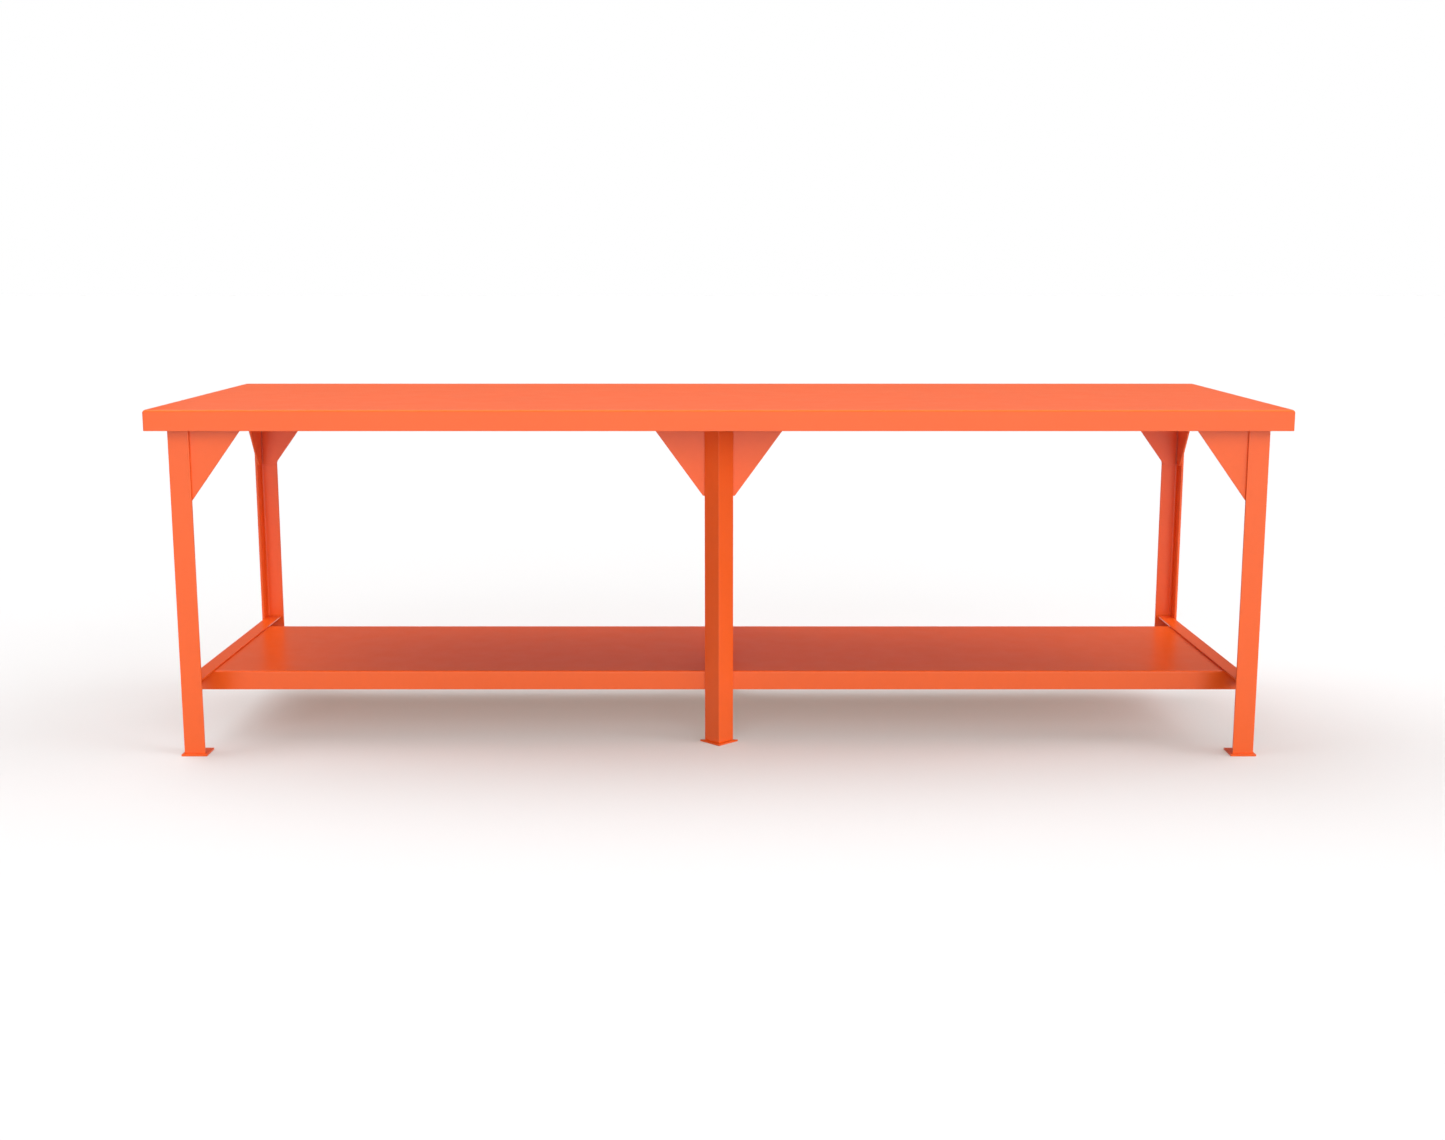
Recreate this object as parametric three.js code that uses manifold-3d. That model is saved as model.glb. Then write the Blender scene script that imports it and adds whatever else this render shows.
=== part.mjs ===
// Shop table of welded steel: a formed top with turned-down skirts on six angle iron legs, and a lower shelf.
// Millimetres, +Z up, +X along the length, the front towards -Y, origin on the floor under the centre.
import * as THREE from 'three';
import * as BufferGeometryUtils from 'three/addons/utils/BufferGeometryUtils.js';
import Module from 'manifold-3d';

// Whole table
const tableLength = 2743.2;
const tableDepth = 914.4;
const tableHeight = 863.6;

// Formed top: one plate with a skirt turned down on all four sides
const topThickness = 4.76;
const topSkirtHeight = 50.8;
const topInnerRadius = 2.84;
const topCornerRadius = 3;
const cutOverrun = 5;

// Legs of hot-rolled angle iron, each with its heel outwards
const legFlange = 50.8;
const legThickness = 6.35;
const legRootRadius = 6.35;
const legToeRadius = 3.2;
const legEndInset = 43;
const legFrontInset = 44.5;

// Middle legs stand turned by 45 degrees, their toes against the plane of the shelf's front and rear skirts
const shelfInset = 179;
const toeGap = 0.3;

// Foot pads under the legs, each with a hole for a floor anchor
const padThickness = 4.76;
const padOverhang = 6.35;
const anchorHoleRadius = 5.5;

// Gusset plates between the legs and the top, all cut to one outline
const gussetThickness = 4.76;
const gussetReach = 203.2;
const gussetFootReach = 39.8;
const gussetDrop = 225.1;
const gussetRootGap = 0.3;

// End rails of light angle iron, inside the corner legs, lying over the ends of the shelf
const railFlange = 38.1;
const railThickness = 4.76;
const railRootRadius = 4.76;
const railToeRadius = 2.4;
const railTopHeight = 189.5;
const railEndGap = 0.3;

// Shelf: one sheet with a skirt turned down along the front and the rear, notched round the rails at its ends
const shelfThickness = 2.66;
const shelfSkirtHeight = 48.3;
const shelfInnerRadius = 2.34;
const shelfEndGap = 0.3;

// Stiffening channels welded under the top, their open side against it
const topStiffenerWidth = 76.2;
const topStiffenerDepth = 38.1;
const topStiffenerThickness = 4.76;
const topStiffenerInnerRadius = 2.4;
const topStiffenerEndGap = 1;

// Stiffening channels under the shelf
const shelfStiffenerWidth = 50.8;
const shelfStiffenerDepth = 25.4;
const shelfStiffenerThickness = 2.66;
const shelfStiffenerInnerRadius = 2;
const shelfStiffenerEndGap = 1;

// Facets of each arc, by the kind of piece, and of an anchor hole
const bendFacets = 8;
const rolledFacets = 5;
const holeFacets = 24;

// Powder coat over all of the steel
const coatColor = 0xf8703f;
const shelfCoatColor = 0xe7622f;
const coatRoughness = 0.38;
const coatMetalness = 0.05;

// Heights and faces that the pieces share
const quarterTurn = Math.PI / 2;
const halfLength = tableLength / 2;
const halfDepth = tableDepth / 2;
const topBendRadius = topInnerRadius + topThickness;
const shelfBendRadius = shelfInnerRadius + shelfThickness;
const topUnderside = tableHeight - topThickness;
const legHeelX = halfLength - legEndInset;
const legHeelY = halfDepth - legFrontInset;
const legInnerX = legHeelX - legThickness;
const legInnerY = legHeelY - legThickness;
const shelfFaceY = halfDepth - shelfInset;
const shelfTopHeight = railTopHeight - railThickness;
const gussetSetback = legRootRadius + gussetRootGap;
const bayCentre = legInnerX / 2;

// How far the rounded back corners of the toes lie behind the heel of a leg turned by 45 degrees
const toeReach = (legFlange + legThickness) / Math.SQRT2 - legToeRadius * (Math.SQRT2 - 1);
const middleLegDepth = toeReach + toeGap;
const middleHeelY = shelfFaceY + middleLegDepth;

const wasm = await Module();
wasm.setup();
const table = new THREE.Group();

// Booleans

function toSolid(geometry) {
  const plain = geometry.clone();
  plain.deleteAttribute('normal');
  plain.deleteAttribute('uv');
  const merged = BufferGeometryUtils.mergeVertices(plain);
  return new wasm.Manifold(new wasm.Mesh({
    numProp: 3,
    vertProperties: new Float32Array(merged.attributes.position.array),
    triVerts: new Uint32Array(merged.index.array),
  }));
}

function toGeometry(solid) {
  const mesh = solid.getMesh();
  const geometry = new THREE.BufferGeometry();
  geometry.setAttribute('position', new THREE.BufferAttribute(mesh.vertProperties, 3));
  geometry.setIndex(new THREE.BufferAttribute(mesh.triVerts, 1));
  geometry.computeVertexNormals();
  return geometry;
}

// Outlines

// An L with its heel at the origin and its flanges along +x and +y.
function angleShape(flange, thickness, rootRadius, toeRadius) {
  const root = thickness + rootRadius;
  const shape = new THREE.Shape();
  shape.moveTo(0, 0);
  shape.lineTo(flange, 0);
  shape.absarc(flange - toeRadius, thickness - toeRadius, toeRadius, 0, quarterTurn, false);
  shape.absarc(root, root, rootRadius, 3 * quarterTurn, 2 * quarterTurn, true);
  shape.absarc(thickness - toeRadius, flange - toeRadius, toeRadius, 0, quarterTurn, false);
  shape.lineTo(0, flange);
  return shape;
}

// A U with its web on the x axis and its flanges along +y.
function channelShape(width, depth, thickness, innerRadius) {
  const half = width / 2;
  const bendRadius = innerRadius + thickness;
  const bendX = half - bendRadius;
  const shape = new THREE.Shape();
  shape.moveTo(-half, depth);
  shape.absarc(-bendX, bendRadius, bendRadius, 2 * quarterTurn, 3 * quarterTurn, false);
  shape.absarc(bendX, bendRadius, bendRadius, -quarterTurn, 0, false);
  shape.lineTo(half, depth);
  shape.lineTo(half - thickness, depth);
  shape.absarc(bendX, bendRadius, innerRadius, 0, -quarterTurn, true);
  shape.absarc(-bendX, bendRadius, innerRadius, 3 * quarterTurn, 2 * quarterTurn, true);
  shape.lineTo(thickness - half, depth);
  return shape;
}

// A rectangle on the x axis with its two upper corners rounded.
function archShape(width, height, radius) {
  const half = width / 2;
  const shape = new THREE.Shape();
  shape.moveTo(-half, 0);
  shape.lineTo(half, 0);
  shape.absarc(half - radius, height - radius, radius, 0, quarterTurn, false);
  shape.absarc(radius - half, height - radius, radius, quarterTurn, 2 * quarterTurn, false);
  return shape;
}

// A rectangle about the origin, with four round corners where a radius is given.
function plateShape(width, depth, radius) {
  const x = width / 2 - radius;
  const y = depth / 2 - radius;
  const shape = new THREE.Shape();
  if (radius === 0) {
    shape.moveTo(-x, -y);
    shape.lineTo(x, -y);
    shape.lineTo(x, y);
    shape.lineTo(-x, y);
    return shape;
  }
  shape.absarc(x, -y, radius, -quarterTurn, 0, false);
  shape.absarc(x, y, radius, 0, quarterTurn, false);
  shape.absarc(-x, y, radius, quarterTurn, 2 * quarterTurn, false);
  shape.absarc(-x, -y, radius, 2 * quarterTurn, 3 * quarterTurn, false);
  return shape;
}

// The gusset's outline: x out from the leg's inner face, y down from the top's underside.
function gussetShape() {
  const shape = new THREE.Shape();
  shape.moveTo(gussetSetback, 0);
  shape.lineTo(gussetSetback, -gussetDrop);
  shape.lineTo(gussetFootReach, -gussetDrop);
  shape.lineTo(gussetReach, 0);
  return shape;
}

function cutAnchorHole(shape, x, y) {
  const hole = new THREE.Path();
  hole.absarc(x, y, anchorHoleRadius, 0, 4 * quarterTurn, false);
  shape.holes.push(hole);
}

// Extrusions

// From z = 0 up.
function standing(shape, height, facets) {
  return new THREE.ExtrudeGeometry(shape, { depth: height, bevelEnabled: false, curveSegments: facets });
}

// Along X, centred: the outline's x becomes Y and its y becomes Z.
function lengthwise(shape, length, facets) {
  const geometry = standing(shape, length, facets);
  geometry.translate(0, 0, -length / 2);
  return geometry.applyMatrix4(new THREE.Matrix4().makeBasis(
    new THREE.Vector3(0, 1, 0), new THREE.Vector3(0, 0, 1), new THREE.Vector3(1, 0, 0)));
}

// Along Y, centred: the outline's x stays X and its y becomes Z.
function crosswise(shape, length, facets) {
  const geometry = standing(shape, length, facets);
  geometry.translate(0, 0, -length / 2);
  return geometry.applyMatrix4(new THREE.Matrix4().makeBasis(
    new THREE.Vector3(1, 0, 0), new THREE.Vector3(0, 0, 1), new THREE.Vector3(0, -1, 0)));
}

// Placing

function addPiece(parent, name, geometry, x, y, z, turn = 0) {
  const color = name.startsWith('shelf') ? shelfCoatColor : coatColor;
  const coat = new THREE.MeshStandardMaterial({ color, roughness: coatRoughness, metalness: coatMetalness });
  const mesh = new THREE.Mesh(geometry, coat);
  mesh.name = name;
  mesh.position.set(x, y, z);
  mesh.rotation.z = turn;
  parent.add(mesh);
  return mesh;
}

// Top

// A block with its four upper edges bent round and its upright corners rounded.
function bentBlock(length, depth, height, bendRadius, cornerRadius) {
  const longBends = toSolid(lengthwise(archShape(depth, height, bendRadius), length, bendFacets));
  const endBends = toSolid(crosswise(archShape(length, height, bendRadius), depth, bendFacets));
  const plan = toSolid(standing(plateShape(length, depth, cornerRadius), height, bendFacets));
  return longBends.intersect(endBends).intersect(plan);
}

function addTop() {
  const outer = bentBlock(tableLength, tableDepth, topSkirtHeight, topBendRadius, topCornerRadius);
  const hollow = bentBlock(
    tableLength - 2 * topThickness,
    tableDepth - 2 * topThickness,
    topSkirtHeight - topThickness + cutOverrun,
    topInnerRadius,
    0,
  ).translate([0, 0, -cutOverrun]);
  addPiece(table, 'table_top', toGeometry(outer.subtract(hollow)), 0, 0, tableHeight - topSkirtHeight);
}

function addTopStiffeners() {
  const fullLength = tableDepth - 2 * (topBendRadius + topStiffenerEndGap);
  const middleLength = 2 * (shelfFaceY - gussetThickness - topStiffenerEndGap);
  const runs = [
    { name: 'left', x: -bayCentre, length: fullLength },
    { name: 'middle', x: 0, length: middleLength },
    { name: 'right', x: bayCentre, length: fullLength },
  ];
  for (const run of runs) {
    const channel = channelShape(
      topStiffenerWidth, topStiffenerDepth, topStiffenerThickness, topStiffenerInnerRadius);
    const geometry = crosswise(channel, run.length, bendFacets);
    addPiece(table, `top_stiffener_${run.name}`, geometry, run.x, 0, topUnderside - topStiffenerDepth);
  }
}

// Legs, foot pads and gussets

function legGeometry() {
  const shape = angleShape(legFlange, legThickness, legRootRadius, legToeRadius);
  return standing(shape, topUnderside - padThickness, rolledFacets);
}

function gussetGeometry() {
  return crosswise(gussetShape(), gussetThickness, 1);
}

// The square pad of a corner leg, in the leg's own frame, with its hole inside the angle.
function cornerPadGeometry() {
  const near = -padOverhang;
  const far = legFlange + padOverhang;
  const shape = new THREE.Shape();
  shape.moveTo(near, near);
  shape.lineTo(far, near);
  shape.lineTo(far, far);
  shape.lineTo(near, far);
  const holeCentre = (legThickness + legFlange) / 2;
  cutAnchorHole(shape, holeCentre, holeCentre);
  return standing(shape, padThickness, holeFacets);
}

// The three-cornered pad of a middle leg, square at the heel, its long edge under the shelf's skirt.
function middlePadGeometry() {
  const near = -padOverhang;
  const backSum = middleLegDepth * Math.SQRT2;
  const shape = new THREE.Shape();
  shape.moveTo(near, near);
  shape.lineTo(backSum - near, near);
  shape.lineTo(near, backSum - near);
  const insideSide = backSum - 2 * legThickness;
  const inscribedRadius = insideSide * (2 - Math.SQRT2) / 2;
  const holeCentre = legThickness + inscribedRadius;
  cutAnchorHole(shape, holeCentre, holeCentre);
  return standing(shape, padThickness, holeFacets);
}

function addLeg(name, x, y, turn, padGeometry) {
  const group = new THREE.Group();
  group.position.set(x, y, 0);
  group.rotation.z = turn;
  table.add(group);
  addPiece(group, `foot_pad_${name}`, padGeometry, 0, 0, 0);
  addPiece(group, `leg_${name}`, legGeometry(), 0, 0, padThickness);
  return group;
}

// Each corner is turned so that its flanges run inwards, with one gusset against each flange.
function addCornerLegs() {
  const corners = [
    { name: 'front_left', x: -1, y: -1, turns: 0, first: 'long', second: 'end' },
    { name: 'front_right', x: 1, y: -1, turns: 1, first: 'end', second: 'long' },
    { name: 'rear_right', x: 1, y: 1, turns: 2, first: 'long', second: 'end' },
    { name: 'rear_left', x: -1, y: 1, turns: 3, first: 'end', second: 'long' },
  ];
  const onFlange = legThickness + gussetThickness / 2;
  for (const corner of corners) {
    const turn = corner.turns * quarterTurn;
    const group = addLeg(
      corner.name, corner.x * legHeelX, corner.y * legHeelY, turn, cornerPadGeometry());
    addPiece(group, `gusset_${corner.name}_${corner.first}`, gussetGeometry(),
      legThickness, onFlange, topUnderside);
    addPiece(group, `gusset_${corner.name}_${corner.second}`, gussetGeometry(),
      onFlange, legThickness, topUnderside, quarterTurn);
  }
}

// The middle gussets lie behind the toes, one to each side of the leg.
function addMiddleLegs() {
  const plateY = shelfFaceY - gussetThickness / 2;
  for (const side of [{ name: 'front', y: -1, turns: 0.5 }, { name: 'rear', y: 1, turns: 2.5 }]) {
    addLeg(`${side.name}_middle`, 0, side.y * middleHeelY, side.turns * quarterTurn, middlePadGeometry());
    addPiece(table, `gusset_${side.name}_middle_right`, gussetGeometry(),
      0, side.y * plateY, topUnderside);
    addPiece(table, `gusset_${side.name}_middle_left`, gussetGeometry(),
      0, side.y * plateY, topUnderside, 2 * quarterTurn);
  }
}

// Shelf and the rails that carry it

function addEndRails() {
  const shape = angleShape(railFlange, railThickness, railRootRadius, railToeRadius);
  const length = 2 * (legInnerY - legRootRadius - railEndGap);
  for (const end of [{ name: 'left', x: -1, turns: 1 }, { name: 'right', x: 1, turns: 2 }]) {
    const geometry = crosswise(shape, length, rolledFacets);
    const rail = addPiece(table, `end_rail_${end.name}`, geometry, end.x * legInnerX, 0, railTopHeight);
    rail.rotation.y = end.turns * quarterTurn;
  }
}

// The sheet ends at the rails' roots, but below them the skirts' lower edges run on to the plane of the legs.
function addShelf() {
  const sheetLength = 2 * (legInnerX - railThickness - railRootRadius - shelfEndGap);
  const skirtLength = 2 * legInnerX;
  const notchDepth = railFlange - railThickness + shelfEndGap;
  const shape = channelShape(2 * shelfFaceY, shelfSkirtHeight, shelfThickness, shelfInnerRadius);
  const sheet = toSolid(lengthwise(shape, sheetLength, bendFacets));
  const lowerEdges = toSolid(lengthwise(shape, skirtLength, bendFacets)).trimByPlane([0, 0, 1], notchDepth);
  const shelf = addPiece(table, 'shelf', toGeometry(sheet.add(lowerEdges)), 0, 0, shelfTopHeight);
  shelf.rotation.x = 2 * quarterTurn;
}

function addShelfStiffeners() {
  const underside = shelfTopHeight - shelfThickness;
  const length = 2 * (shelfFaceY - shelfBendRadius - shelfStiffenerEndGap);
  for (const bay of [{ name: 'left', x: -1 }, { name: 'right', x: 1 }]) {
    const channel = channelShape(
      shelfStiffenerWidth, shelfStiffenerDepth, shelfStiffenerThickness, shelfStiffenerInnerRadius);
    const geometry = crosswise(channel, length, bendFacets);
    addPiece(table, `shelf_stiffener_${bay.name}`, geometry,
      bay.x * bayCentre, 0, underside - shelfStiffenerDepth);
  }
}

addTop();
addTopStiffeners();
addCornerLegs();
addMiddleLegs();
addEndRails();
addShelf();
addShelfStiffeners();

export default table;
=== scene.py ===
"""Looks of a long welded steel shop table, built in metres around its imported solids.

The length runs along X, the front faces -Y and the floor is at z = 0. Every piece that shows is a
finer one than the solid it stands for: rolled and folded sections with their true radii, broken
edges, weld beads and an orange powder coat.
"""

import logging
import math
from abc import ABC, abstractmethod
from collections.abc import Iterable, Mapping, Sequence
from dataclasses import dataclass, field, fields
from enum import Enum
from functools import cache
from typing import ClassVar

import bmesh
import bpy
from mathutils import Matrix, Vector


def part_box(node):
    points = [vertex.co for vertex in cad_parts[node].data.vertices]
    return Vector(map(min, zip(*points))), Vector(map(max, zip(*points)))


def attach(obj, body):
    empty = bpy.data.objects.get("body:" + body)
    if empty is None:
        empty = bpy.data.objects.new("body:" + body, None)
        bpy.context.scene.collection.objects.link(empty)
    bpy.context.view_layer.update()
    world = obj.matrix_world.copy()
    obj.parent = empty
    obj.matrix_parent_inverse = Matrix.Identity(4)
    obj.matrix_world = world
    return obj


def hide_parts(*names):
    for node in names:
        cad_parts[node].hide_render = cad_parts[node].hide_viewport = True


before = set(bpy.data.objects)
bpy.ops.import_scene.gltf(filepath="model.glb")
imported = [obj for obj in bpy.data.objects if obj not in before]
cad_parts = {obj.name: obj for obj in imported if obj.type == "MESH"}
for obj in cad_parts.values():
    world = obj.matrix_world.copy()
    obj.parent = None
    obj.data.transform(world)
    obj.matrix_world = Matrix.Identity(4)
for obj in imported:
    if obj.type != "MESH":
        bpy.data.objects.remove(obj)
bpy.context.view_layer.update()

LOG = logging.getLogger("shop_table")
ROOT_BODY = "root"
MM = 0.001
FULL_TURN = 2 * math.pi
QUARTER_TURN = math.pi / 2
SQRT_2 = math.sqrt(2)
X_AXIS = Vector((1, 0, 0))
Y_AXIS = Vector((0, 1, 0))
Z_AXIS = Vector((0, 0, 1))
# Face mark that lightens the coat: thinner film on broken edges, and a painted highlight along the top's
# outside bend.
THIN_COAT_AND_HIGHLIGHT = "thin_coat"
WHITE = (1.0, 1.0, 1.0, 1.0)

# Sockets that a Mix node of colours has, by number

MIX_SHARE = 0
MIX_FIRST = 6
MIX_SECOND = 7
MIX_RESULT = 2

Color = tuple[float, float, float]
Point2 = tuple[float, float]
Number = float | bpy.types.NodeSocket


class Slot(Enum):
    """The record's material slots."""

    TOP = "top_coat"
    FRAME = "frame_coat"
    SHELF = "shelf_coat"


class Half(Enum):
    """One of two mirrored halves of the table, its value the sign that its axis has there."""

    @property
    def word(self) -> str:
        """The half's name as the nodes spell it."""
        return self.name.lower()


class Row(Half):
    """The front or the rear row of legs."""

    FRONT = -1
    REAR = 1


class Side(Half):
    """The left or the right end of the table."""

    LEFT = -1
    RIGHT = 1


# Objects


def put_in_scene(name: str, data: bpy.types.ID) -> bpy.types.Object:
    """Makes an object and links it to the scene.

    Args:
        name: The object's name.
        data: Its mesh, lamp or camera.

    Returns:
        The object.
    """
    placed = bpy.data.objects.new(name, data)
    bpy.context.scene.collection.objects.link(placed)
    return placed


def plain_mesh(draft: bpy.types.Object) -> bpy.types.Mesh:
    """The plain mesh that an object's modifiers make of it."""
    graph = bpy.context.evaluated_depsgraph_get()
    return bpy.data.meshes.new_from_object(draft.evaluated_get(graph))


# Node trees


@dataclass
class NodeSheet:
    """A node tree that is being drawn."""

    tree: bpy.types.NodeTree

    def add(
        self, kind: str, sockets: Mapping[str | int, object] | None = None, **settings: object
    ) -> bpy.types.Node:
        """Adds one node.

        Args:
            kind: The node's type.
            sockets: What each input gets: an output to link, or a value to hold.
            **settings: The node's own settings.

        Returns:
            The new node.
        """
        node = self.tree.nodes.new(kind)
        for name, value in settings.items():
            setattr(node, name, value)
        for name, value in (sockets or {}).items():
            self.feed(node.inputs[name], value)
        return node

    def feed(self, socket: bpy.types.NodeSocket, value: object) -> None:
        """Links an output to an input, or writes a value in it.

        Args:
            socket: The input.
            value: An output of another node, or a plain value.
        """
        if isinstance(value, bpy.types.NodeSocket):
            self.tree.links.new(value, socket)
        else:
            socket.default_value = value

    def math(self, operation: str, first: Number, second: Number = 0.0) -> bpy.types.NodeSocket:
        """The result of one sum, by the Math node's operation and the numbers that it takes."""
        return self.add("ShaderNodeMath", {0: first, 1: second}, operation=operation).outputs[0]


class ShapeTree(NodeSheet):
    """A geometry node tree with one geometry output and named inputs."""

    def __init__(self, name: str) -> None:
        """Makes the empty tree with its group nodes.

        Args:
            name: The tree's name.
        """
        super().__init__(bpy.data.node_groups.new(name, "GeometryNodeTree"))
        self.entry = self.tree.nodes.new("NodeGroupInput")
        self.exit = self.tree.nodes.new("NodeGroupOutput")
        self.tree.interface.new_socket("Geometry", in_out="OUTPUT", socket_type="NodeSocketGeometry")

    def input(self, name: str, kind: str = "NodeSocketFloat") -> bpy.types.NodeSocket:
        """Adds a named input of a socket type, and gives the socket that carries it into the tree."""
        self.tree.interface.new_socket(name, in_out="INPUT", socket_type=kind)
        return self.entry.outputs[name]

    def finish(self, geometry: bpy.types.NodeSocket, coat: bpy.types.NodeSocket) -> None:
        """Ends the tree: real geometry, shaded smooth, in the coat's material.

        Args:
            geometry: What the tree has made.
            coat: The material input.
        """
        real = self.add("GeometryNodeRealizeInstances", {"Geometry": geometry})
        smooth = self.add("GeometryNodeSetShadeSmooth", {"Geometry": real.outputs[0]})
        coated = self.add("GeometryNodeSetMaterial", {"Geometry": smooth.outputs[0], "Material": coat})
        self.feed(self.exit.inputs[0], coated.outputs[0])

    def mesh(self, name: str, values: Mapping[str, object], source: bpy.types.Mesh) -> bpy.types.Mesh:
        """Runs the tree once and takes the plain mesh that it makes.

        Args:
            name: A name for the mesh.
            values: The inputs by name.
            source: The mesh that the tree starts from, empty where it makes its own.

        Returns:
            The mesh, with no modifier behind it.
        """
        carrier = put_in_scene(name, source)
        modifier = carrier.modifiers.new(name, "NODES")
        modifier.node_group = self.tree
        for socket in self.tree.interface.items_tree:
            if socket.name in values:
                modifier[socket.identifier] = values[socket.name]
        made = plain_mesh(carrier)
        made.name = name
        bpy.data.objects.remove(carrier)
        bpy.data.meshes.remove(source)
        return made


# Finishes


@dataclass(frozen=True)
class PowderCoat:
    """A baked powder coat: its colour, its sheen and the fine relief of the film.

    The film is a little thinner and lighter on broken edges, which also stands in for a painted
    highlight there, a painted highlight lightens the top's outside bend, and its tone drifts slowly over
    a long piece.
    """

    name: str
    slot: Slot
    color: Color
    roughness: float
    gloss: float = 0.5
    coarse_detail: float = 2
    fine_detail: float = 1
    drift_share: float = 0.03
    drift_pitch: float = 420 * MM
    speck_share: float = 0.015
    speck_pitch: float = 14 * MM
    sheen_spread: float = 0.02
    sheen_pitch: float = 60 * MM
    # The lighter colour of thin film on broken edges, and of the painted highlight along the top's
    # outside bend.
    edge_color: Color = (0.97, 0.15, 0.009)
    edge_share: float = 0.3
    peel_pitch: float = 2.4 * MM
    peel_depth: float = 0.006 * MM
    wave_pitch: float = 55 * MM
    wave_depth: float = 0.006 * MM

    def material(self) -> bpy.types.Material:
        """The coat's material, made the first time that it is asked for."""
        return bpy.data.materials.get(self.name) or self.draw()

    def draw(self) -> bpy.types.Material:
        """Draws the material's nodes.

        Returns:
            The new material.
        """
        material = bpy.data.materials.new(self.name)
        material.use_nodes = True
        material.diffuse_color = (*self.color, 1)
        sheet = NodeSheet(material.node_tree)
        shader = material.node_tree.nodes["Principled BSDF"]
        shader.inputs["Specular IOR Level"].default_value = self.gloss
        place = sheet.add("ShaderNodeTexCoord").outputs["Object"]
        sheet.feed(shader.inputs["Base Color"], self.tone(sheet, place))
        sheet.feed(shader.inputs["Roughness"], self.sheen(sheet, place))
        sheet.feed(shader.inputs["Normal"], self.relief(sheet, place))
        return material

    @staticmethod
    def noise(sheet: NodeSheet, place: bpy.types.NodeSocket, pitch: float, detail: float
              ) -> bpy.types.NodeSocket:
        """A soft noise of a given size.

        Args:
            sheet: The material's nodes.
            place: The coordinates.
            pitch: The size of a patch in metres.
            detail: How many finer layers it has.

        Returns:
            The noise from 0 to 1.
        """
        return sheet.add(
            "ShaderNodeTexNoise", {"Vector": place, "Scale": 1 / pitch, "Detail": detail}
        ).outputs["Fac"]

    @staticmethod
    def spread(sheet: NodeSheet, value: bpy.types.NodeSocket, low: float, high: float
               ) -> bpy.types.NodeSocket:
        """Stretches the middle of a noise over a range.

        Args:
            sheet: The material's nodes.
            value: The noise.
            low: The result at its low end.
            high: The result at its high end.

        Returns:
            The stretched value.
        """
        quiet_share, loud_share = 0.3, 0.7
        return sheet.add("ShaderNodeMapRange", {
            "Value": value, "From Min": quiet_share, "From Max": loud_share,
            "To Min": low, "To Max": high,
        }).outputs[0]

    def tone(self, sheet: NodeSheet, place: bpy.types.NodeSocket) -> bpy.types.NodeSocket:
        """The colour, with its slow drift, fine specks, and lighter edges and bends: partly thin film,
        partly painted highlight.

        Args:
            sheet: The material's nodes.
            place: The coordinates.

        Returns:
            The colour's socket.
        """
        clouds = self.noise(sheet, place, self.drift_pitch, self.coarse_detail)
        grains = self.noise(sheet, place, self.speck_pitch, self.fine_detail)
        drift = self.spread(sheet, clouds, 1 - self.drift_share, 1)
        specks = self.spread(sheet, grains, 1 - self.speck_share, 1)
        shade = sheet.math("MULTIPLY", drift, specks)
        shaded = sheet.add(
            "ShaderNodeVectorMath", {0: self.color, "Scale": shade}, operation="SCALE").outputs[0]
        # The mark mixes in thinner film on broken edges and the painted highlight along the top's bend.
        edge = sheet.add("ShaderNodeAttribute", attribute_name=THIN_COAT_AND_HIGHLIGHT).outputs["Fac"]
        thin_and_highlight_share = sheet.math("MULTIPLY", edge, self.edge_share)
        return sheet.add("ShaderNodeMix", {
            MIX_SHARE: thin_and_highlight_share, MIX_FIRST: shaded, MIX_SECOND: (*self.edge_color, 1),
        }, data_type="RGBA").outputs[MIX_RESULT]

    def sheen(self, sheet: NodeSheet, place: bpy.types.NodeSocket) -> bpy.types.NodeSocket:
        """The roughness, a little uneven.

        Args:
            sheet: The material's nodes.
            place: The coordinates.

        Returns:
            The roughness's socket.
        """
        noise = self.noise(sheet, place, self.sheen_pitch, self.coarse_detail)
        return self.spread(
            sheet, noise, self.roughness - self.sheen_spread, self.roughness + self.sheen_spread)

    def relief(self, sheet: NodeSheet, place: bpy.types.NodeSocket) -> bpy.types.NodeSocket:
        """Orange peel over slow waves in the film.

        Args:
            sheet: The material's nodes.
            place: The coordinates.

        Returns:
            The normal's socket.
        """
        waves = self.noise(sheet, place, self.wave_pitch, self.fine_detail)
        peel = self.noise(sheet, place, self.peel_pitch, self.fine_detail)
        wave = sheet.add("ShaderNodeBump", {"Height": waves, "Distance": self.wave_depth})
        return sheet.add("ShaderNodeBump", {
            "Height": peel,
            "Distance": self.peel_depth,
            "Normal": wave.outputs[0],
        }).outputs[0]


ORANGE: Color = (0.86, 0.11, 0.009)
# The shelf's orange is painted a little darker than the same coat elsewhere, as painted shade under the
# top.
SHELF_ORANGE_PAINTED_SHADE: Color = (0.81, 0.106, 0.009)
WELD_ORANGE: Color = (0.84, 0.106, 0.009)

TOP_COAT = PowderCoat("orange_coat_top", Slot.TOP, ORANGE, roughness=0.33)
FRAME_COAT = PowderCoat("orange_coat_frame", Slot.FRAME, ORANGE, roughness=0.31)
SHELF_COAT = PowderCoat("orange_coat_shelf", Slot.SHELF, SHELF_ORANGE_PAINTED_SHADE, roughness=0.3)
WELD_COAT = PowderCoat("orange_coat_welds", Slot.FRAME, WELD_ORANGE, roughness=0.33)


# Meshes


@dataclass(frozen=True)
class NodeBox:
    """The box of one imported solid."""

    low: Vector
    high: Vector

    @classmethod
    def of(cls, node: str) -> "NodeBox":
        """The box of a node, by its name."""
        return cls(*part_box(node))

    @property
    def size(self) -> Vector:
        """Its length along each axis."""
        return self.high - self.low

    @property
    def centre(self) -> Vector:
        """Its middle."""
        return (self.low + self.high) / 2

    def face_x(self, way: int) -> float:
        """The x of its right face where way is 1, and of its left one where it is -1."""
        return self.high.x if way > 0 else self.low.x

    def face_y(self, way: int) -> float:
        """The y of its rear face where way is 1, and of its front one where it is -1."""
        return self.high.y if way > 0 else self.low.y


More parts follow.
